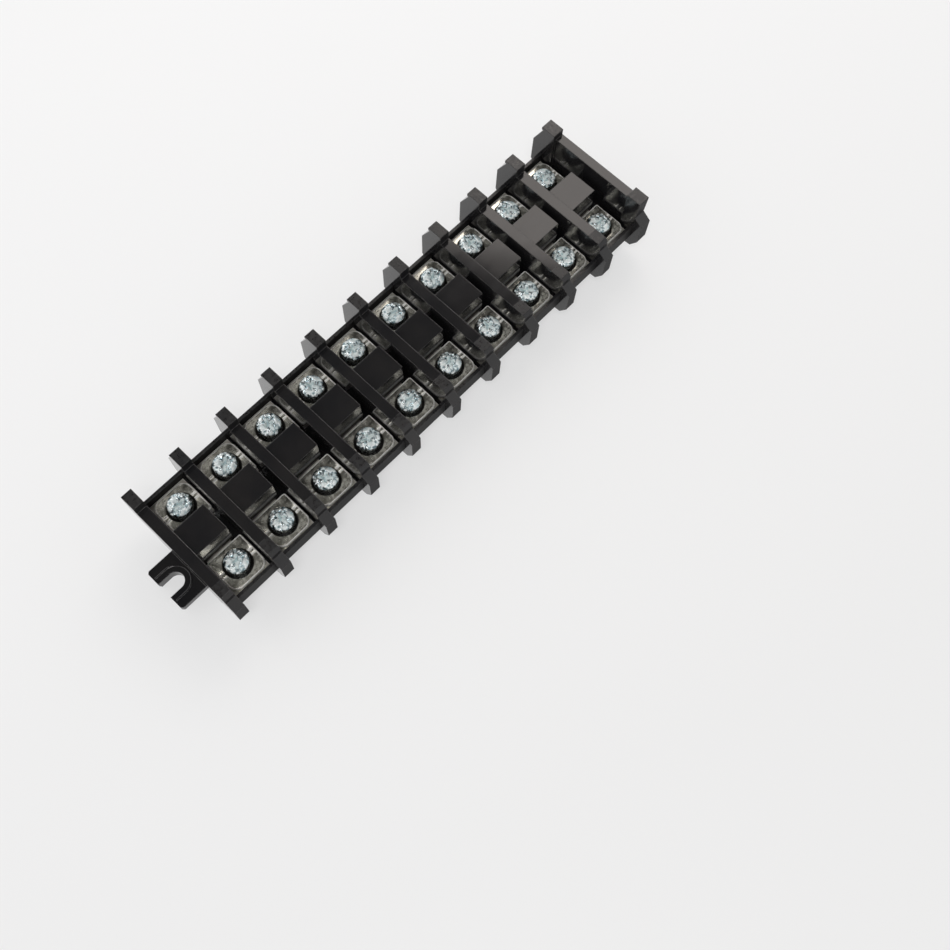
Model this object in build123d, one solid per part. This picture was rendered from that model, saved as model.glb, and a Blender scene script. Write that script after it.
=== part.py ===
"""Ten-way barrier terminal block: moulded modules, end plate, conductor bars, terminal screws."""
import os

from build123d import *

# Overall layout. X runs along the stack, Y across it, Z up from the underside.
PITCH = 16.0
MODULES = 10
END_THICKNESS = 3.9
FOOT_REACH = 8.6
STACK_LENGTH = MODULES * PITCH + END_THICKNESS
X_SHIFT = STACK_LENGTH / 2

# Base and flanks of a moulded module.
BASE_HALF = 12.5
BASE_CHAMFER = 0.5
LEDGE_Z = 4.5
RIM_HALF = 18.7
RIM_START_Z = 8.3
RIM_TOP_Z = 13.7
RIM_THICKNESS = 1.0
FLANK_SETBACK = 2.7
FLANK_HALF = RIM_HALF - FLANK_SETBACK
FLOOR_Z = 8.8

# Barrier between two terminals, with its ears. The ears stand out from the rim.
WALL = 3.3
WALL_TOP_Z = 21.2
EAR_TOP_Z = 24.5
CAP_DEPTH = 1.0
CAP_WIDTH = 4.9
EAR_REACH_Y = RIM_HALF + 3.0
EAR_OUTER_Y = RIM_HALF + 0.4
EAR_INNER_Y = EAR_OUTER_Y - CAP_WIDTH
CAP_NECK_Y = EAR_OUTER_Y - 0.5
CAP_SHOULDER_Z = 17.6
EAR_NECK_Y = RIM_HALF + 0.1
EAR_NECK_Z = 18.0
EAR_SHOULDER_Z = 16.0
EAR_LOW_Z = 8.4
EAR_FOOT_Y = RIM_HALF + 0.9
EAR_FOOT_Z = 4.9
EAR_LOW_ROUND = 1.0

# Centre block over the conductor bar.
BLOCK_END_X = 13.7
BLOCK_TOP_Z = 20.0
BLOCK_HALF = 4.6
BLOCK_STEP = 0.2
BLOCK_STEP_Z = 14.9
RECESS_Z = 6.6

# Conductor bar, lying on the pocket floor between the two rims.
BAR_THICKNESS = 2.0
BAR_CLEARANCE = 0.2
BAR_END_GAP = 0.2
BAR_SIDE_GAP = 0.3
BAR_HALF_LENGTH = RIM_HALF - RIM_THICKNESS - BAR_END_GAP
BAR_START_X = WALL + BAR_SIDE_GAP
BAR_END_X = PITCH - 2 * BAR_SIDE_GAP
BAR_NECK_START_X = BAR_START_X + 0.7
BAR_NECK_END_X = BLOCK_END_X - 1.0
BAR_NECK_HALF = BLOCK_HALF + BLOCK_STEP + 0.5
BAR_Z = FLOOR_Z + BAR_THICKNESS

# Terminal: screw with a captive square washer, between the centre block and the end of the bar.
WASHER_THICKNESS = 1.2
WASHER_SIDE_GAP = 0.45
WASHER_BLOCK_GAP = 0.5
WASHER_END_GAP = 0.6
WASHER_INNER_Y = BLOCK_HALF + BLOCK_STEP + WASHER_BLOCK_GAP
WASHER_HALF_X = (PITCH - WALL) / 2 - WASHER_SIDE_GAP
WASHER_OUTER_Y = BAR_HALF_LENGTH - WASHER_END_GAP
WASHER_HALF_Y = (WASHER_OUTER_Y - WASHER_INNER_Y) / 2
WASHER_CORNER = 2.0
WASHER_TOP_Z = BAR_Z + WASHER_THICKNESS
SCREW_X = (PITCH + WALL) / 2
SCREW_Y = (WASHER_OUTER_Y + WASHER_INNER_Y) / 2
THREAD_RADIUS = 2.0
THREAD_CLEARANCE = 0.05
HOLE_RADIUS = THREAD_RADIUS + THREAD_CLEARANCE
WELL_GAP = 0.3
SCREW_TIP_Z = 6.0
TIP_GAP = 0.4
HEAD_RADIUS = 3.5
HEAD_TOP_Z = 15.0
SLOT_WIDTH = 1.0
SLOT_DEPTH = 1.0
TURN_STEP = 37.0

# Fork tab of a module and the window that takes the next one.
TAB_HALF = 7.1
TAB_TOP_Z = 3.5
TAB_FLANGE_Z = 1.3
TAB_RIB_HALF = 5.95
TAB_RIB_SETBACK = 0.3
TAB_CORNER = 0.6
TINE_CORNER = 1.2
TAB_SLOT_HALF = 2.5
TAB_SLOT_X = -4.7
TAB_ROOT = 1.6
TAB_GAP = 0.15
WINDOW_HALF = 6.3
WINDOW_Z = 5.0
WINDOW_END_GAP = 0.3

# End plate: its wall is taller than the others and relieved on the inner side.
END_WALL_TOP_Z = 22.8
END_EAR_TOP_Z = 25.0
END_RELIEF = 1.0
FOOT_HALF = 8.7
FOOT_SLOT_HALF = 2.55
FOOT_SLOT_BOTTOM = 2.4
FOOT_CORNER = 0.7


def block(x0, x1, y0, y1, z0, z1):
    """Box between two corners."""
    size = Box(x1 - x0, y1 - y0, z1 - z0)
    return Pos((x0 + x1) / 2, (y0 + y1) / 2, (z0 + z1) / 2) * size


def slab(points, x0, x1):
    """Outline in the Y-Z plane, extruded along X."""
    face = make_face(Polyline(*points, close=True))
    return extrude(Plane.YZ.offset(x0) * face, amount=x1 - x0)


def mirrored(half):
    """Close a half outline with its mirror image across the X-Z plane."""
    other = [(-y, z) for y, z in reversed(half)]
    return half + other


def plate(x0, x1, half, z0, z1, corner):
    """Flat plate, centred on Y, with cut corners at both ends."""
    outline = [
        (x0, corner - half),
        (x0 + corner, -half),
        (x1 - corner, -half),
        (x1, corner - half),
        (x1, half - corner),
        (x1 - corner, half),
        (x0 + corner, half),
        (x0, half - corner),
    ]
    face = make_face(Polyline(*outline, close=True))
    return extrude(Pos(0, 0, z0) * face, amount=z1 - z0)


def rod(x, y, radius, z0, z1):
    """Upright cylinder."""
    return Pos(x, y, (z0 + z1) / 2) * Cylinder(radius, z1 - z0)


def body_outline():
    """Half outline of the moulded body below the rim, from the middle outward."""
    return [
        (BASE_HALF - BASE_CHAMFER, 0),
        (BASE_HALF, BASE_CHAMFER),
        (BASE_HALF, LEDGE_Z),
        (FLANK_HALF, LEDGE_Z),
        (RIM_HALF, RIM_START_Z),
        (RIM_HALF, RIM_TOP_Z),
    ]


def ear_foot():
    """Lower half outline of a barrier, from the underside to the widest point of its ear."""
    return [
        (BASE_HALF - BASE_CHAMFER, 0),
        (BASE_HALF, BASE_CHAMFER),
        (BASE_HALF, LEDGE_Z),
        (FLANK_HALF, LEDGE_Z),
        (EAR_FOOT_Y, EAR_FOOT_Z),
        (EAR_REACH_Y, EAR_LOW_Z),
    ]


def sloped_ear(wall_z, ear_z):
    """Half outline with a capped ear on a long slope."""
    cap_z = ear_z - CAP_DEPTH
    return ear_foot() + [
        (EAR_REACH_Y, CAP_SHOULDER_Z),
        (CAP_NECK_Y, cap_z),
        (EAR_OUTER_Y, cap_z),
        (EAR_OUTER_Y, ear_z),
        (EAR_INNER_Y, ear_z),
        (EAR_INNER_Y, wall_z),
    ]


def level_ear(wall_z):
    """Half outline whose necked ear is level with the wall."""
    return ear_foot() + [
        (EAR_REACH_Y, EAR_SHOULDER_Z),
        (EAR_NECK_Y, EAR_NECK_Z),
        (EAR_NECK_Y, wall_z - EAR_LOW_ROUND),
        (EAR_NECK_Y - EAR_LOW_ROUND, wall_z),
    ]


def necked_ear(wall_z, ear_z):
    """Half outline with a raised ear above a neck."""
    return ear_foot() + [
        (EAR_REACH_Y, EAR_SHOULDER_Z),
        (EAR_NECK_Y, EAR_NECK_Z),
        (EAR_OUTER_Y, ear_z),
        (EAR_INNER_Y, ear_z),
        (EAR_INNER_Y, wall_z),
    ]


def barrier(thickness, high, low):
    """Barrier wall from the half outline of each side."""
    other = [(-y, z) for y, z in reversed(low)]
    return slab(high + other, 0, thickness)


def tongue(reach, rib_reach):
    """T-shaped tongue that reaches under the module before it."""
    flange = plate(-reach, TAB_ROOT, TAB_HALF, TAB_FLANGE_Z, TAB_TOP_Z, TAB_CORNER)
    rib = plate(-rib_reach, TAB_ROOT, TAB_RIB_HALF, 0, TAB_FLANGE_Z, TINE_CORNER)
    return flange + rib


def fork_tab():
    """Tongue of a module, with an open slot for a fixing screw."""
    slot = rod(TAB_SLOT_X, 0, TAB_SLOT_HALF, 0, TAB_TOP_Z)
    mouth = block(-FOOT_REACH, TAB_SLOT_X, -TAB_SLOT_HALF, TAB_SLOT_HALF, 0, TAB_TOP_Z)
    return tongue(FOOT_REACH, FOOT_REACH - TAB_RIB_SETBACK) - slot - mouth


def tab_window():
    """Hollow in the underside with side grooves for the next module's fork."""
    hollow = block(WALL, PITCH, -WINDOW_HALF, WINDOW_HALF, 0, WINDOW_Z)
    groove_half = TAB_HALF + TAB_GAP
    groove_x = PITCH - FOOT_REACH - WINDOW_END_GAP
    groove_low = TAB_FLANGE_Z - TAB_GAP
    groove_high = TAB_TOP_Z + TAB_GAP
    groove = block(groove_x, PITCH, -groove_half, groove_half, groove_low, groove_high)
    return hollow + groove


def centre_block():
    """Raised block that bridges the conductor bar."""
    upper = block(WALL, BLOCK_END_X, -BLOCK_HALF, BLOCK_HALF, FLOOR_Z, BLOCK_TOP_Z)
    wide = BLOCK_HALF + BLOCK_STEP
    lower = block(WALL, BLOCK_END_X, -wide, wide, FLOOR_Z, BLOCK_STEP_Z)
    passage = block(WALL, BLOCK_END_X, -wide, wide, FLOOR_Z, BAR_Z + BAR_CLEARANCE)
    return upper + lower - passage


def screw_well(side):
    """Square well in the pocket floor for the tip of a terminal screw."""
    half = THREAD_RADIUS + WELL_GAP
    y = side * SCREW_Y
    bottom = SCREW_TIP_Z - TIP_GAP
    return block(SCREW_X - half, SCREW_X + half, y - half, y + half, bottom, FLOOR_Z)


def housing():
    """One moulded module: barrier, body, two terminal pockets and fork tab."""
    body = slab(mirrored(body_outline()), 0, PITCH)
    inner = RIM_HALF - RIM_THICKNESS
    pocket = block(WALL, PITCH, -inner, inner, FLOOR_Z, RIM_TOP_Z)
    recess = block(BLOCK_END_X, PITCH, -BLOCK_HALF, BLOCK_HALF, RECESS_Z, FLOOR_Z)
    wall = barrier(WALL, sloped_ear(WALL_TOP_Z, EAR_TOP_Z), level_ear(WALL_TOP_Z))
    shape = body - pocket - recess + wall + centre_block()
    for side in (-1, 1):
        shape = shape - screw_well(side)
    return shape - tab_window() + fork_tab()


def end_plate():
    """Closing plate with a slotted mounting foot and a tongue under the last module."""
    high = sloped_ear(END_WALL_TOP_Z, END_EAR_TOP_Z)
    wall = barrier(END_THICKNESS, high, necked_ear(END_WALL_TOP_Z, END_EAR_TOP_Z))
    relief = block(0, END_RELIEF, -EAR_INNER_Y, EAR_INNER_Y, FLOOR_Z, END_WALL_TOP_Z)
    foot_end = END_THICKNESS + FOOT_REACH
    foot = plate(END_THICKNESS - TAB_ROOT, foot_end, FOOT_HALF, 0, TAB_TOP_Z, FOOT_CORNER)
    slot_x = END_THICKNESS + FOOT_SLOT_BOTTOM + FOOT_SLOT_HALF
    slot = rod(slot_x, 0, FOOT_SLOT_HALF, 0, TAB_TOP_Z)
    mouth = block(slot_x, foot_end, -FOOT_SLOT_HALF, FOOT_SLOT_HALF, 0, TAB_TOP_Z)
    return wall - relief + foot - slot - mouth + tongue(FOOT_REACH, FOOT_REACH)


def conductor_bar():
    """Flat bar with a wide pad at each terminal and a narrower middle."""
    half = BAR_NECK_HALF
    shape = block(BAR_NECK_START_X, BAR_NECK_END_X, -half, half, FLOOR_Z, BAR_Z)
    for side in (-1, 1):
        y0, y1 = sorted((side * BAR_NECK_HALF, side * BAR_HALF_LENGTH))
        shape = shape + block(BAR_START_X, BAR_END_X, y0, y1, FLOOR_Z, BAR_Z)
    for side in (-1, 1):
        shape = shape - rod(SCREW_X, side * SCREW_Y, HOLE_RADIUS, FLOOR_Z, BAR_Z)
    return shape


def square_washer():
    """Square pressure washer, its screw axis on the origin; the outer side is +Y."""
    width = WASHER_HALF_X
    depth = WASHER_HALF_Y
    cut = WASHER_CORNER
    outline = [
        (-width, -depth),
        (width, -depth),
        (width, depth - cut),
        (width - cut, depth),
        (cut - width, depth),
        (-width, depth - cut),
    ]
    face = make_face(Polyline(*outline, close=True))
    pad = extrude(Pos(0, 0, BAR_Z) * face, amount=WASHER_THICKNESS)
    return pad - rod(0, 0, HOLE_RADIUS, BAR_Z, WASHER_TOP_Z)


def terminal_screw():
    """Pan-head screw with a straight slot, axis on the origin."""
    head = rod(0, 0, HEAD_RADIUS, WASHER_TOP_Z, HEAD_TOP_Z)
    shank = rod(0, 0, THREAD_RADIUS, SCREW_TIP_Z, WASHER_TOP_Z)
    slot_half = SLOT_WIDTH / 2
    slot_z = HEAD_TOP_Z - SLOT_DEPTH
    slot = block(-HEAD_RADIUS, HEAD_RADIUS, -slot_half, slot_half, slot_z, HEAD_TOP_Z)
    return head + shank - slot


def save(shape, name, x, y=0.0, turn=0.0):
    """Place a piece in the stack and write it."""
    placed = Pos(x - X_SHIFT, y, 0) * Rot(0, 0, turn) * shape
    export_step(placed, "parts/" + name + ".step")


def main():
    os.makedirs("parts", exist_ok=True)
    module = housing()
    washer = square_washer()
    screw = terminal_screw()
    bars = []
    for index in range(MODULES):
        number = "%02d" % (index + 1)
        x = index * PITCH
        save(module, "housing_" + number, x)
        bars.append(Pos(x - X_SHIFT, 0, 0) * conductor_bar())
        for row, side, turn in (("a", 1, 0), ("b", -1, 180)):
            save(washer, "washer_" + row + "_" + number, x + SCREW_X, side * SCREW_Y, turn)
            angle = (index * TURN_STEP + turn / 4) % 180
            save(screw, "screw_" + row + "_" + number, x + SCREW_X, side * SCREW_Y, angle)
    export_step(Compound(children=bars), "parts/conductor_bars.step")
    save(end_plate(), "end_plate", MODULES * PITCH)


main()
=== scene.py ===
"""Looks of the ten-way barrier terminal block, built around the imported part."""
import math

import bmesh
import bpy
from mathutils import Matrix, Vector


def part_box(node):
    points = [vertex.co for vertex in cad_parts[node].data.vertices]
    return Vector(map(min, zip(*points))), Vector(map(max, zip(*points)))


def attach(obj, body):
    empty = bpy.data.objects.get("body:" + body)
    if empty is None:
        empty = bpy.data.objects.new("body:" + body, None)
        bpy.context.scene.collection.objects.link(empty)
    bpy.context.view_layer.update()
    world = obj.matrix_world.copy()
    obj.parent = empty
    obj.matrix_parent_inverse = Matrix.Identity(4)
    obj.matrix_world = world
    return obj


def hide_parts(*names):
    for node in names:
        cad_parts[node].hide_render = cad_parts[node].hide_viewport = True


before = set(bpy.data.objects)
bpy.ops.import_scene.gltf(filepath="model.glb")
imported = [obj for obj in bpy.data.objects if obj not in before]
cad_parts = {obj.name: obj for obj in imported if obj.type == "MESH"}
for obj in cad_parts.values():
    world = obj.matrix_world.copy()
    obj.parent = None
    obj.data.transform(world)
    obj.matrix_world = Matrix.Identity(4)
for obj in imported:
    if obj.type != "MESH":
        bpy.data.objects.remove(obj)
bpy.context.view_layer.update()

# The stack: ten modules along X, closed by the end plate.
MM = 0.001
PITCH = 16.0 * MM
MODULES = 10
END_THICKNESS = 3.9 * MM
HALF_STACK = (MODULES * PITCH + END_THICKNESS) / 2

# Camera, in millimetres of the stack's own frame, whose origin is the outer face of the first barrier.
CAMERA_AT = (-5.81, -98.13, 283.8)
CAMERA_LOOKS = (0.2661, 0.2057, -0.9417)
CAMERA_UP = (0.6751, 0.6576, 0.3344)
FOCAL_PIXELS = 1058.77
PICTURE_PIXELS = 950.0
SENSOR = 36.0

# Washers. Heights follow the solids that they replace. The outer corners are the two nearest the rim.
WASHER_Z = (10.8 * MM, 12.0 * MM)
OUTER_CORNER = 2.8 * MM
INNER_CORNER = 0.6 * MM
TOP_ROUND = 0.45 * MM
FOOT_ROUND = 0.12 * MM
RECESS_RADIUS = 4.2 * MM
RECESS_DEPTH = 0.7 * MM
HOLE_RADIUS = 2.1 * MM
GROOVE_Y = 0.7 * MM
GROOVE_HALF = 0.34 * MM
GROOVE_DEPTH = 0.2 * MM

# Screws. Heights and the head's radius follow the solids that they replace. The head's rounded edge goes
# inward and up by HEAD_ROUND, and its crown is radius and fall below the top. The cross recess narrows to
# CROSS_TAPER at its foot, from its full size CROSS_RISE above the head.
HEAD_TOP = 15.0 * MM
TIP_Z = 6.0 * MM
HEAD_RADIUS = 3.5 * MM
HEAD_SEAT = WASHER_Z[1] - RECESS_DEPTH
HEAD_CHAMFER = 0.1 * MM
HEAD_SHOULDER = 1.05 * MM
HEAD_ROUND = (0.95 * MM, 0.8 * MM)
HEAD_CROWN = ((1.6 * MM, 0.06 * MM), (0.7 * MM, 0.01 * MM), (0, 0))
SLOT_HALF = 0.4 * MM
SLOT_DEPTH = 0.8 * MM
CROSS_HALF = 0.75 * MM
CROSS_REACH = 2.2 * MM
CROSS_DEPTH = 1.2 * MM
CROSS_RISE = 0.6 * MM
CROSS_TAPER = 0.35
SLOT_EDGE = 0.07 * MM
TIP_RADIUS = 1.2 * MM
TIP_CONE = 0.45 * MM
CORE_RADIUS = 1.62 * MM
THREAD_PITCH = 0.7 * MM
THREAD_ROOT = 1.58 * MM
THREAD_CREST = 1.98 * MM
THREAD_HALF = 0.32 * MM
CREST_HALF = 0.04 * MM
THREAD_START = 0.4 * MM
SHANK_OVERLAP = 0.1 * MM

# How far each screw is turned, in degrees: the first of each row, and the step from one to the next.
FIRST_TURN = {"a": 10, "b": 55}
TURN_STEP = 37

# Feet: top of the tines, centre of each screw slot from the face that it starts at, and the bead round it.
FOOT_TOP_Z = 3.5 * MM
START_SLOT_X = 4.7 * MM
END_SLOT_X = 4.95 * MM
BEAD_RADIUS = 4.3 * MM
BEAD_HALF = 0.32 * MM
BEAD_HEIGHT = 0.10 * MM
BEAD_SUNK = 0.05 * MM
BEAD_STRAIGHT = 3.4 * MM

# The ears beyond this distance from the middle have a duller surface than the rest of the moulding.
EAR_START = 13.8 * MM

# Share of an even glow in what the camera sees of the table, which softens the shadow.
SHADOW_FADE = 0.6

# How far a cutter stands past the surface that it cuts, and the bend past which an edge is shaded sharp.
OVERRUN = 1.0 * MM
SHARP_ANGLE = 35


class Nodes:
    """Adds and links the nodes of a material or a world."""

    def __init__(self, owner):
        owner.use_nodes = True
        self.tree = owner.node_tree

    def add(self, kind, **values):
        node = self.tree.nodes.new(kind)
        for key, value in values.items():
            setattr(node, key, value)
        return node

    def feed(self, socket, value):
        """Give a socket a link, a colour, a number or a vector."""
        if isinstance(value, bpy.types.NodeSocket):
            self.tree.links.new(value, socket)
        elif socket.type == "RGBA":
            socket.default_value = (*value, 1)
        else:
            socket.default_value = value

    def compute(self, operation, *values):
        """Number that a math node works out from one or two others."""
        node = self.add("ShaderNodeMath", operation=operation)
        for socket, value in zip(node.inputs, values):
            self.feed(socket, value)
        return node.outputs["Value"]

    def dot(self, a, b):
        node = self.add("ShaderNodeVectorMath", operation="DOT_PRODUCT")
        self.feed(node.inputs[0], a)
        self.feed(node.inputs[1], b)
        return node.outputs["Value"]

    def axis(self, vector, name):
        node = self.add("ShaderNodeSeparateXYZ")
        self.feed(node.inputs["Vector"], vector)
        return node.outputs[name]

    def radius(self, where):
        """Distance from the piece's upright axis."""
        flat = self.add("ShaderNodeCombineXYZ")
        self.feed(flat.inputs["X"], self.axis(where, "X"))
        self.feed(flat.inputs["Y"], self.axis(where, "Y"))
        length = self.add("ShaderNodeVectorMath", operation="LENGTH")
        self.feed(length.inputs[0], flat.outputs["Vector"])
        return length.outputs["Value"]

    def span(self, value, low, high, to_low, to_high):
        """Value carried from one range to another, held at its ends."""
        node = self.add("ShaderNodeMapRange")
        node.inputs["From Min"].default_value = low
        node.inputs["From Max"].default_value = high
        node.inputs["To Min"].default_value = to_low
        node.inputs["To Max"].default_value = to_high
        self.feed(node.inputs["Value"], value)
        return node.outputs["Result"]

    def ramp(self, value, stops):
        """Colour from (position, colour) stops."""
        node = self.add("ShaderNodeValToRGB")
        while len(node.color_ramp.elements) < len(stops):
            node.color_ramp.elements.new(0.5)
        for element, (at, colour) in zip(node.color_ramp.elements, stops):
            element.position = at
            element.color = (*colour, 1)
        self.feed(node.inputs["Fac"], value)
        return node.outputs["Color"]

    def mix(self, factor, a, b, kind="RGBA"):
        """Colour, or number with kind FLOAT, that goes from a to b."""
        node = self.add("ShaderNodeMix", data_type=kind)
        self.feed(node.inputs["Factor"], factor)
        self.feed(node.inputs["A"], a)
        self.feed(node.inputs["B"], b)
        return node.outputs["Result"]


class Surface(Nodes):
    """Nodes of a new material round its shader."""

    def __init__(self, name):
        self.material = bpy.data.materials.new(name)
        super().__init__(self.material)
        self.shader = self.tree.nodes["Principled BSDF"]
        self.output = self.tree.nodes["Material Output"]

    def shade(self, **values):
        """Feed the shader, whose sockets are named with _ for each space, and return the material."""
        for name, value in values.items():
            self.feed(self.shader.inputs[name.replace("_", " ")], value)
        return self.material

    def coords(self, scale=(1, 1, 1)):
        mapping = self.add("ShaderNodeMapping")
        self.feed(mapping.inputs["Vector"], self.add("ShaderNodeTexCoord").outputs["Object"])
        self.feed(mapping.inputs["Scale"], scale)
        return mapping.outputs["Vector"]

    def noise(self, vector, scale, detail=3.0, rough=0.55):
        node = self.add("ShaderNodeTexNoise")
        node.inputs["Scale"].default_value = scale
        node.inputs["Detail"].default_value = detail
        node.inputs["Roughness"].default_value = rough
        self.feed(node.inputs["Vector"], vector)
        return node.outputs["Fac"]

    def normal(self, name="True Normal"):
        return self.add("ShaderNodeNewGeometry").outputs[name]

    def bevel(self, radius):
        """Normal that is rounded along sharp edges."""
        node = self.add("ShaderNodeBevel", samples=6)
        node.inputs["Radius"].default_value = radius
        return node.outputs["Normal"]

    def edges(self, radius):
        """Mask that is 1 along sharp edges, where the rounded normal leaves the flat one."""
        return self.span(self.dot(self.bevel(radius), self.normal()), 0.86, 0.99, 1.0, 0.0)

    def bump(self, height, strength, distance, normal):
        node = self.add("ShaderNodeBump")
        node.inputs["Distance"].default_value = distance
        self.feed(node.inputs["Strength"], strength)
        self.feed(node.inputs["Height"], height)
        self.feed(node.inputs["Normal"], normal)
        return node.outputs["Normal"]


def plastic(name):
    """Near-black glossy moulding, duller on its ears and flanks and rubbed along its edges."""
    n = Surface(name)
    where = n.coords()
    cloud = n.noise(where, 90.0, 4.0)
    black = n.ramp(cloud, [(0.3, (0.008, 0.008, 0.009)), (0.7, (0.015, 0.014, 0.014))])
    rubbed = (0.09, 0.085, 0.08)
    patches = n.span(n.noise(where, 1300.0), 0.45, 0.60, 0.15, 1.0)
    wear = n.compute("MULTIPLY", n.edges(0.2 * MM), patches)

    facing = n.normal()
    sideways = n.span(n.axis(facing, "Y"), -0.95, -0.6, 1.0, 0.0)
    upward = n.span(n.axis(facing, "Z"), 0.8, 0.95, 0.0, 1.0)
    offset = n.compute("ABSOLUTE", n.axis(where, "Y"))
    outer = n.span(offset, EAR_START, EAR_START + 0.2 * MM, 0.0, 1.0)
    ear = n.compute("MULTIPLY", outer, upward)
    flank = n.compute("MULTIPLY", outer, sideways)

    flow = n.noise(n.coords((60, 160, 220)), 1.0)
    gloss = n.span(flow, 0.3, 0.7, 0.08, 0.15)
    dull = n.span(n.noise(where, 1200.0), 0.35, 0.65, 0.25, 0.43)
    grain = n.noise(where, 2600.0, 2.0)
    grain_strength = n.span(outer, 0.0, 1.0, 0.03, 0.30)
    return n.shade(Base_Color=n.mix(wear, black, rubbed),
                   Roughness=n.mix(flank, n.mix(ear, gloss, dull, "FLOAT"), 0.55, "FLOAT"),
                   Specular_IOR_Level=n.span(flank, 0.0, 1.0, 0.5, 0.1),
                   IOR=1.52,
                   Normal=n.bump(grain, grain_strength, 0.04 * MM, n.bevel(0.28 * MM)))


def bar_metal(name):
    """Plated bar with fine streaks, rubbed bright along its sawn ends, where the pale colour also paints a
    highlight.
    """
    n = Surface(name)
    cloud = n.noise(n.coords(), 420.0, 4.0)
    plate = n.ramp(cloud, [(0.32, (0.46, 0.44, 0.39)), (0.68, (0.72, 0.69, 0.62))])
    # Wear and painted highlight: sharp edges take a pale, less metallic colour.
    edge = n.edges(0.3 * MM)
    streaks = n.noise(n.coords((2400, 300, 900)), 1.0, 4.0, 0.6)
    return n.shade(Base_Color=n.mix(edge, plate, (0.95, 0.93, 0.88)),
                   Roughness=n.span(streaks, 0.3, 0.7, 0.25, 0.42),
                   Metallic=n.span(edge, 0.0, 1.0, 0.5, 0.1),
                   Normal=n.bump(streaks, 0.12, 0.02 * MM, n.bevel(0.15 * MM)))


def washer_metal(name):
    """Dull nickel with fine streaks, with painted shade, near-black, inside the recess round the screw
    head.
    """
    n = Surface(name)
    where = n.coords()
    cloud = n.noise(where, 420.0, 4.0)
    plate = n.ramp(cloud, [(0.38, (0.58, 0.56, 0.48)), (0.62, (0.90, 0.88, 0.78))])
    # Painted shade: near-black colour inside the recess round the head.
    painted_recess_shade = (0.035, 0.033, 0.03)
    outside = n.span(n.radius(where), RECESS_RADIUS - 0.1 * MM, RECESS_RADIUS + 0.05 * MM, 0.0, 1.0)
    streaks = n.noise(n.coords((900, 2400, 900)), 1.0, 4.0, 0.6)
    return n.shade(Base_Color=n.mix(outside, painted_recess_shade, plate),
                   Roughness=n.span(streaks, 0.3, 0.7, 0.12, 0.28),
                   Metallic=n.span(cloud, 0.42, 0.62, 0.95, 0.6),
                   Normal=n.bump(cloud, 0.12, 0.1 * MM, n.bevel(0.15 * MM)))


def burr_and_highlight_metal(name):
    """Paler, matt burr and painted highlight along the edges of the washers."""
    n = Surface(name)
    rub = n.noise(n.coords(), 1800.0)
    return n.shade(Base_Color=n.ramp(rub, [(0.35, (0.80, 0.78, 0.73)), (0.6, (1.0, 0.98, 0.94))]),
                   Roughness=n.span(rub, 0.3, 0.7, 0.55, 0.4),
                   Metallic=n.span(rub, 0.35, 0.6, 0.35, 0.05))


def head_metal(name):
    """Bright zinc: coarse crystals, part frosted and part mirror-like, on the top, with painted glints, a
    painted highlight in the cross recess and painted shade on the darker side.
    """
    n = Surface(name)
    where = n.coords()
    # Painted highlight: the cross recess, found by depth and radius, takes a pale, non-metallic colour.
    deep = n.span(n.axis(where, "Z"), HEAD_TOP - 0.28 * MM, HEAD_TOP - 0.12 * MM, 1.0, 0.0)
    middle = n.span(n.radius(where), 2.0 * MM, 2.3 * MM, 1.0, 0.0)
    recess = n.compute("MULTIPLY", deep, middle)
    facing_up = n.span(n.axis(n.normal("Normal"), "Z"), 0.45, 0.75, 0.0, 1.0)
    lit = n.mix(recess, facing_up, 1.0, "FLOAT")

    mottle = n.noise(where, 1050.0, 2.0)
    frost = n.noise(n.coords((1.4, 1.0, 1.2)), 520.0, 1.0)
    # Painted glints: white, non-metallic spots where the frost noise is high.
    painted_glints = n.span(frost, 0.56, 0.62, 0.0, 1.0)
    bright = n.mix(painted_glints, recess, 1.0, "FLOAT")
    crystals = n.ramp(mottle, [(0.38, (0.22, 0.31, 0.34)), (0.48, (0.50, 0.62, 0.65)),
                               (0.58, (0.95, 1.0, 1.0))])
    # Colours of the painted highlight, used for the glints and the cross recess.
    painted_highlight_colour = n.ramp(mottle, [(0.40, (0.55, 0.68, 0.70)), (0.50, (0.93, 1.0, 1.0))])
    top = n.mix(bright, crystals, painted_highlight_colour)
    # Painted shade: faces that don't face up take this darker, fully metallic colour.
    side = (0.17, 0.19, 0.195)
    top_metallic = n.mix(bright, n.span(frost, 0.44, 0.54, 0.95, 0.3), 0.0, "FLOAT")
    unlit = n.span(lit, 0.0, 1.0, 1.0, 0.0)
    return n.shade(Base_Color=n.mix(lit, side, top),
                   Roughness=n.span(mottle, 0.40, 0.60, 0.14, 0.30),
                   Metallic=n.mix(unlit, top_metallic, 1.0, "FLOAT"),
                   Normal=n.bump(mottle, 1.0, 0.9 * MM, n.bevel(0.2 * MM)))


def floor_material():
    """Pale matt table. A share of what the camera sees of it is a glow, brighter toward the far side."""
    n = Surface("table_surface")
    tone = n.noise(n.coords(), 3.0, 2.0)
    far_side = n.dot(n.coords(), (0.35, 0.9, 0.0))
    glow = n.add("ShaderNodeEmission")
    n.feed(glow.inputs["Strength"], n.span(far_side, -0.12, 0.15, 0.80, 0.95))
    ray = n.add("ShaderNodeLightPath").outputs
    seen = n.compute("MAXIMUM", ray["Is Camera Ray"], ray["Is Glossy Ray"])
    seen = n.compute("MAXIMUM", seen, ray["Is Transmission Ray"])
    both = n.add("ShaderNodeMixShader")
    n.feed(both.inputs["Fac"], n.span(seen, 0.0, 1.0, 0.0, SHADOW_FADE))
    n.feed(both.inputs[1], n.shader.outputs["BSDF"])
    n.feed(both.inputs[2], glow.outputs["Emission"])
    n.feed(n.output.inputs["Surface"], both.outputs["Shader"])
    return n.shade(Base_Color=n.ramp(tone, [(0.3, (0.86, 0.86, 0.865)), (0.7, (0.88, 0.88, 0.88))]),
                   Roughness=0.6)


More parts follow.
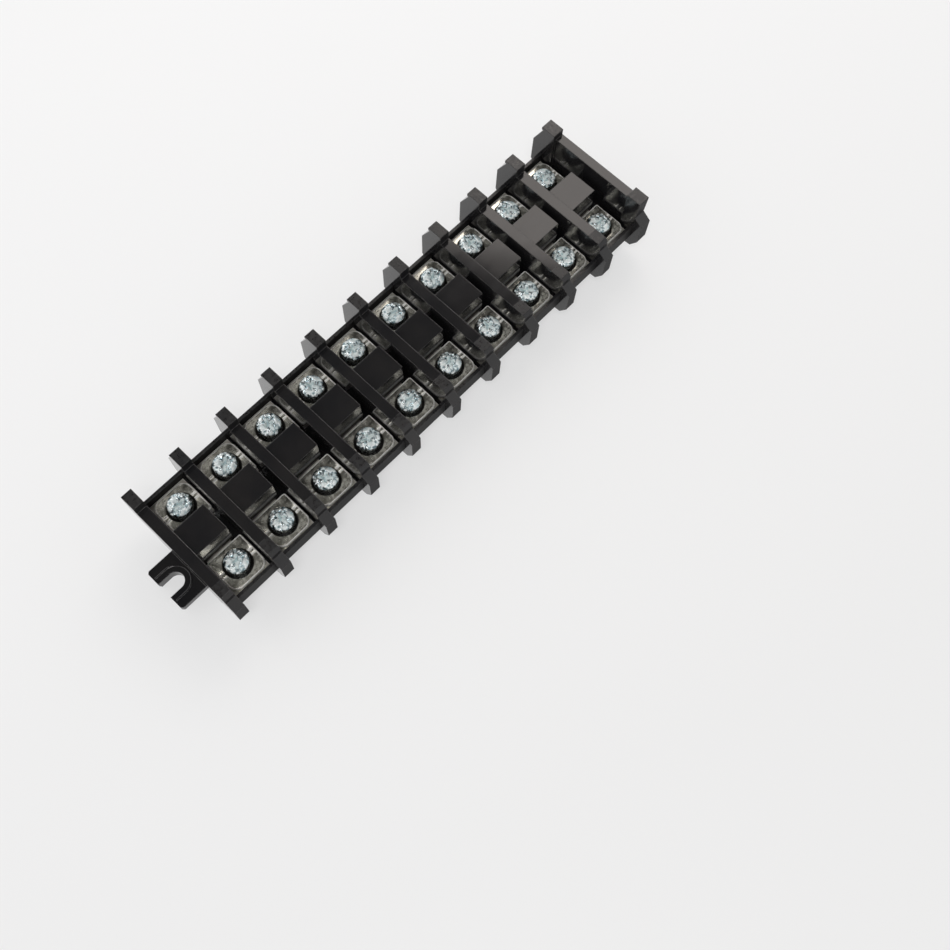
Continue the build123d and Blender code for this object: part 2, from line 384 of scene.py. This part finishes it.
def studio_world():
    """Pale walls all round under a dark ceiling, brighter on the far side."""
    world = bpy.data.worlds.new("studio")
    n = Nodes(world)
    direction = n.add("ShaderNodeTexCoord").outputs["Generated"]
    back = n.tree.nodes["Background"].inputs
    walls, ceiling = (1.0, 1.0, 1.0), (0.06, 0.06, 0.06)
    n.feed(back["Color"], n.ramp(n.axis(direction, "Z"), [(0.55, walls), (0.80, ceiling)]))
    n.feed(back["Strength"], n.span(n.axis(direction, "Y"), -0.8, 0.8, 0.95, 1.6))
    return world


def new_object(name, data):
    """Link an object into the scene."""
    thing = bpy.data.objects.new(name, data)
    bpy.context.scene.collection.objects.link(thing)
    return thing


def area_light(name, at, target, size, watts, colour=(1, 1, 1)):
    """Soft box that points at a target."""
    data = bpy.data.lights.new(name, "AREA")
    data.shape = "RECTANGLE"
    data.size, data.size_y = size
    data.energy = watts
    data.color = colour
    light = new_object(name, data)
    direction = Vector(target) - Vector(at)
    light.location = at
    light.rotation_euler = direction.to_track_quat("-Z", "Y").to_euler()


def make_stage():
    """Table and studio light."""
    reach = 3.0
    mesh = bpy.data.meshes.new("table")
    corners = [(-reach, -reach, 0), (reach, -reach, 0), (reach, reach, 0), (-reach, reach, 0)]
    mesh.from_pydata(corners, [], [(0, 1, 2, 3)])
    mesh.materials.append(floor_material())
    new_object("table", mesh)
    bpy.context.scene.world = studio_world()
    area_light("key", at=(0.565, 0.328, 0.669), target=(0.06, 0.0, 0.0), size=(0.50, 0.39), watts=1.75,
               colour=(1.0, 0.93, 0.88))
    area_light("top", at=(-0.27, -0.225, 0.83), target=(0.0, 0.0, 0.0), size=(0.30, 0.30), watts=2.7)


def place_camera():
    """Camera at the photograph's viewing angle."""
    look = Vector(CAMERA_LOOKS).normalized()
    right = look.cross(Vector(CAMERA_UP)).normalized()
    up = right.cross(look)
    turn = Matrix((right, up, -look)).transposed().to_4x4()
    at = Vector(CAMERA_AT) * MM - Vector((HALF_STACK, 0, 0))
    data = bpy.data.cameras.new("camera")
    data.sensor_fit = "HORIZONTAL"
    data.sensor_width = SENSOR
    data.lens = SENSOR * FOCAL_PIXELS / PICTURE_PIXELS
    data.clip_start = 0.01
    data.clip_end = 20.0
    camera = new_object("camera", data)
    camera.matrix_world = Matrix.Translation(at) @ turn
    bpy.context.scene.camera = camera


def polar(radius, angle):
    """Point in X and Y at a radius and an angle."""
    return radius * math.cos(angle), radius * math.sin(angle)


def mesh_from(name, points, faces):
    """Mesh with consistent outward normals."""
    mesh = bpy.data.meshes.new(name)
    mesh.from_pydata(points, [], faces)
    shape = bmesh.new()
    shape.from_mesh(mesh)
    bmesh.ops.remove_doubles(shape, verts=shape.verts, dist=1e-7)
    bmesh.ops.recalc_face_normals(shape, faces=shape.faces)
    shape.to_mesh(mesh)
    shape.free()
    return mesh


def ring_faces(rings, count):
    """Quads between successive closed rings of as many points each."""
    faces = []
    for ring in range(rings - 1):
        here, beyond = ring * count, (ring + 1) * count
        for i in range(count):
            j = (i + 1) % count
            faces.append((here + i, here + j, beyond + j, beyond + i))
    return faces


def tube(name, rings):
    """Closed mesh through successive rings of points, with flat ends."""
    count = len(rings[0])
    points = [point for ring in rings for point in ring]
    faces = ring_faces(len(rings), count)
    faces.append(tuple(reversed(range(count))))
    faces.append(tuple(range(len(points) - count, len(points))))
    return mesh_from(name, points, faces)


def prism(name, outline, z0, z1, shrink=1.0):
    """Upright prism over an outline in X and Y, narrowed by a factor at its foot."""
    foot = [(x * shrink, y * shrink, z0) for x, y in outline]
    return tube(name, [foot, [(x, y, z1) for x, y in outline]])


def revolved(name, profile, steps):
    """Closed body of revolution about Z from (radius, height) pairs that start and end on the axis."""
    rings = profile[1:-1]
    points = [(*polar(radius, 2 * math.pi * i / steps), z) for radius, z in rings for i in range(steps)]
    faces = ring_faces(len(rings), steps)
    low, high = len(points), len(points) + 1
    last = len(points) - steps
    points += [(0, 0, profile[0][1]), (0, 0, profile[-1][1])]
    for i in range(steps):
        j = (i + 1) % steps
        faces.append((low, j, i))
        faces.append((high, last + i, last + j))
    return mesh_from(name, points, faces)


def cylinder(name, radius, z0, z1, steps):
    """Upright cylinder about Z."""
    return revolved(name, [(0, z0), (radius, z0), (radius, z1), (0, z1)], steps)


def cut(mesh, tools, bevel=0.0):
    """Mesh less its tools, with its sharp edges rounded where a bevel is given."""
    piece = new_object("work", mesh)
    helpers = [new_object("tool", tool) for tool in tools]
    for helper in helpers:
        step = piece.modifiers.new("cut", "BOOLEAN")
        step.operation = "DIFFERENCE"
        step.solver = "EXACT"
        step.object = helper
    if bevel:
        step = piece.modifiers.new("edge", "BEVEL")
        step.width = bevel
        step.segments = 2
        step.limit_method = "ANGLE"
        step.angle_limit = math.radians(32)
    graph = bpy.context.evaluated_depsgraph_get()
    result = bpy.data.meshes.new_from_object(piece.evaluated_get(graph))
    for thing in [piece] + helpers:
        bpy.data.objects.remove(thing)
    return result


def joined(name, meshes):
    """One mesh from several."""
    shape = bmesh.new()
    for mesh in meshes:
        shape.from_mesh(mesh)
    result = bpy.data.meshes.new(name)
    shape.to_mesh(result)
    shape.free()
    return result


def smooth(mesh, sharp_angle=SHARP_ANGLE):
    """Shade a mesh smooth, apart from its sharp edges."""
    for polygon in mesh.polygons:
        polygon.use_smooth = True
    mesh.set_sharp_from_angle(angle=math.radians(sharp_angle))


def head_mesh():
    """Pan head with a rounded edge, a slot across it and a cross recess."""
    shoulder_z = HEAD_TOP - HEAD_SHOULDER
    profile = [(0, HEAD_SEAT), (HEAD_RADIUS - HEAD_CHAMFER, HEAD_SEAT),
               (HEAD_RADIUS, HEAD_SEAT + HEAD_CHAMFER), (HEAD_RADIUS, shoulder_z)]
    inward, rise = HEAD_ROUND
    for step in range(1, 7):
        a = math.radians(15 * step)
        profile.append((HEAD_RADIUS - inward * (1 - math.cos(a)), shoulder_z + rise * math.sin(a)))
    profile += [(radius, HEAD_TOP - fall) for radius, fall in HEAD_CROWN]
    head = revolved("head", profile, steps=64)
    reach = HEAD_RADIUS + 0.5 * MM
    bar = [(-reach, -SLOT_HALF), (reach, -SLOT_HALF), (reach, SLOT_HALF), (-reach, SLOT_HALF)]
    slot = prism("slot", bar, HEAD_TOP - SLOT_DEPTH, HEAD_TOP + OVERRUN)
    half, arm = CROSS_HALF, CROSS_REACH
    cross = [(-half, -arm), (half, -arm), (half, -half), (arm, -half), (arm, half), (half, half),
             (half, arm), (-half, arm), (-half, half), (-arm, half), (-arm, -half), (-half, -half)]
    recess = prism("recess", cross, HEAD_TOP - CROSS_DEPTH, HEAD_TOP + CROSS_RISE, CROSS_TAPER)
    return cut(head, [slot, recess], SLOT_EDGE)


def thread_mesh(z0, z1):
    """V-shaped helical ridge that fades out at both ends."""
    per_turn = 28
    fade_steps = 10
    steps = int((z1 - z0 - 2 * THREAD_HALF) / THREAD_PITCH * per_turn)
    rings = []
    for i in range(steps + 1):
        a = 2 * math.pi * i / per_turn
        z = z0 + THREAD_HALF + THREAD_PITCH * i / per_turn
        fade = min(1.0, i / fade_steps, (steps - i) / fade_steps)
        out = THREAD_ROOT + (THREAD_CREST - THREAD_ROOT) * fade
        section = [(THREAD_ROOT, -THREAD_HALF), (out, -CREST_HALF), (out, CREST_HALF),
                   (THREAD_ROOT, THREAD_HALF)]
        rings.append([(*polar(radius, a), z + rise) for radius, rise in section])
    return tube("thread", rings)


def screw_mesh():
    """Pan head on a threaded shank, which starts a little inside the head."""
    shank_top = HEAD_SEAT + SHANK_OVERLAP
    core = revolved("core", [(0, TIP_Z), (TIP_RADIUS, TIP_Z), (CORE_RADIUS, TIP_Z + TIP_CONE),
                             (CORE_RADIUS, shank_top), (0, shank_top)], steps=24)
    thread = thread_mesh(TIP_Z + THREAD_START, shank_top)
    mesh = joined("screw", [head_mesh(), core, thread])
    smooth(mesh)
    return mesh


def washer_outline(half_x, half_y, inset):
    """Outline of the washer, anticlockwise: round corners on the +Y side, smaller ones on the other."""
    outer, inner = OUTER_CORNER - inset, INNER_CORNER - inset
    corners = [(1, 1, outer, 0), (-1, 1, outer, 90), (-1, -1, inner, 180), (1, -1, inner, 270)]
    points = []
    for side_x, side_y, radius, start in corners:
        centre_x = side_x * (half_x - inset - radius)
        centre_y = side_y * (half_y - inset - radius)
        for step in range(7):
            dx, dy = polar(radius, math.radians(start + 15 * step))
            points.append((centre_x + dx, centre_y + dy))
    return points


def plate_mesh(half_x, half_y):
    """Washer blank whose upper and lower rims are rounded."""
    z0, z1 = WASHER_Z
    angles = [math.radians(30 * step) for step in range(4)]
    levels = [(FOOT_ROUND * (1 - math.sin(a)), z0 + FOOT_ROUND * (1 - math.cos(a))) for a in angles]
    levels += [(TOP_ROUND * (1 - math.cos(a)), z1 - TOP_ROUND * (1 - math.sin(a))) for a in angles]
    rings = []
    for inset, z in levels:
        rings.append([(x, y, z) for x, y in washer_outline(half_x, half_y, inset)])
    return tube("washer", rings)


def groove_tool(y, reach):
    """V-shaped cutter along X, for a groove in the washer's top."""
    top = WASHER_Z[1]
    rise = 0.4 * MM
    flare = GROOVE_HALF * (GROOVE_DEPTH + rise) / GROOVE_DEPTH
    rings = []
    for x in (-reach, reach):
        rings.append([(x, y, top - GROOVE_DEPTH), (x, y + flare, top + rise), (x, y - flare, top + rise)])
    return tube("groove", rings)


def washer_mesh():
    """Square washer with a round recess for the head and two fine grooves across it."""
    low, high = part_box("washer_a_01")
    half_x, half_y = (high.x - low.x) / 2, (high.y - low.y) / 2
    z0, z1 = WASHER_Z
    tools = [groove_tool(y, half_x + OVERRUN) for y in (-GROOVE_Y, GROOVE_Y)]
    tools.append(cylinder("recess", RECESS_RADIUS, z1 - RECESS_DEPTH, z1 + OVERRUN, steps=56))
    tools.append(cylinder("hole", HOLE_RADIUS, z0 - OVERRUN, z1 + OVERRUN, steps=32))
    mesh = cut(plate_mesh(half_x, half_y), tools)
    smooth(mesh)
    return mesh


def mark_rims(mesh):
    """Give the second, paler material, which is burr and painted highlight, to a washer's rounded rim and
    to the walls of its grooves.
    """
    beyond = RECESS_RADIUS + 0.15 * MM
    for polygon in mesh.polygons:
        # Burr and painted highlight: slanted faces outside the recess.
        slanted = 0.15 < polygon.normal.z < 0.98
        if slanted and Vector(polygon.center[:2]).length > beyond:
            polygon.material_index = 1


def bead_mesh(name, centre_x, direction):
    """Fine bead round the screw slot of a foot, open toward the tips of the tines."""
    path = [(BEAD_STRAIGHT, -BEAD_RADIUS, 0, -1)]
    for step in range(25):
        a = math.radians(270 - 7.5 * step)
        path.append((*polar(BEAD_RADIUS, a), *polar(1, a)))
    path.append((BEAD_STRAIGHT, BEAD_RADIUS, 0, 1))
    section = [(-BEAD_HALF, -BEAD_SUNK)]
    for step in range(7):
        a = math.radians(180 - 30 * step)
        section.append((BEAD_HALF * math.cos(a), BEAD_HEIGHT * math.sin(a)))
    section.append((BEAD_HALF, -BEAD_SUNK))
    rings = []
    for x, y, out_x, out_y in path:
        rings.append([(centre_x + direction * (x + out_x * offset), y + out_y * offset, FOOT_TOP_Z + rise)
                      for offset, rise in section])
    mesh = tube(name, rings)
    smooth(mesh, sharp_angle=50)
    return mesh


def make_bead(name, centre_x, direction, material):
    """Bead on a foot, in the material of the moulding."""
    mesh = bead_mesh(name, centre_x, direction)
    mesh.materials.append(material)
    bead = new_object(name, mesh)
    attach(bead, "base")


def make_detailed(kind, body, row, index, mesh, turn):
    """Detailed piece in place of the plain one of a terminal, turned by some degrees."""
    number = "%s_%02d" % (row, index + 1)
    node = "%s_%s" % (kind, number)
    low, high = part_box(node)
    piece = new_object("detailed_" + node, mesh)
    piece.location = ((low.x + high.x) / 2, (low.y + high.y) / 2, 0)
    piece.rotation_euler = (0, 0, math.radians(turn))
    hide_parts(node)
    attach(piece, "%s_%s" % (body, number))


def make_washers(nickel, edge):
    """Detailed washers, their round corners outward."""
    mesh = washer_mesh()
    mesh.materials.append(nickel)
    mesh.materials.append(edge)
    mark_rims(mesh)
    for row, turn in (("a", 0), ("b", 180)):
        for index in range(MODULES):
            make_detailed("washer", "clamp", row, index, mesh, turn)


def make_screws(zinc):
    """Detailed screws, each turned as it was left."""
    mesh = screw_mesh()
    mesh.materials.append(zinc)
    for row, first in FIRST_TURN.items():
        for index in range(MODULES):
            make_detailed("screw", "driver", row, index, mesh, (first + TURN_STEP * index) % 180)


def dress_nodes(looks):
    """Give every carried-over solid the material that its name calls for."""
    for name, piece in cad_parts.items():
        chosen = next(material for start, material in looks.items() if name.startswith(start))
        for slot in piece.material_slots:
            slot.link = "OBJECT"
            slot.material = chosen


def main():
    bpy.context.scene.view_settings.view_transform = "Standard"
    make_stage()
    place_camera()
    moulded = plastic("moulded_black")
    nickel = washer_metal("nickel_plate")
    zinc = head_metal("bright_zinc")
    dress_nodes({"housing": moulded, "end_plate": moulded, "washer": nickel, "screw": zinc,
                 "conductor_bars": bar_metal("bar_plate")})
    make_bead("slot_bead_start", -HALF_STACK - START_SLOT_X, -1, moulded)
    make_bead("slot_bead_end", HALF_STACK + END_SLOT_X, 1, moulded)
    make_washers(nickel, burr_and_highlight_metal("nickel_burr_and_highlight"))
    make_screws(zinc)


main()
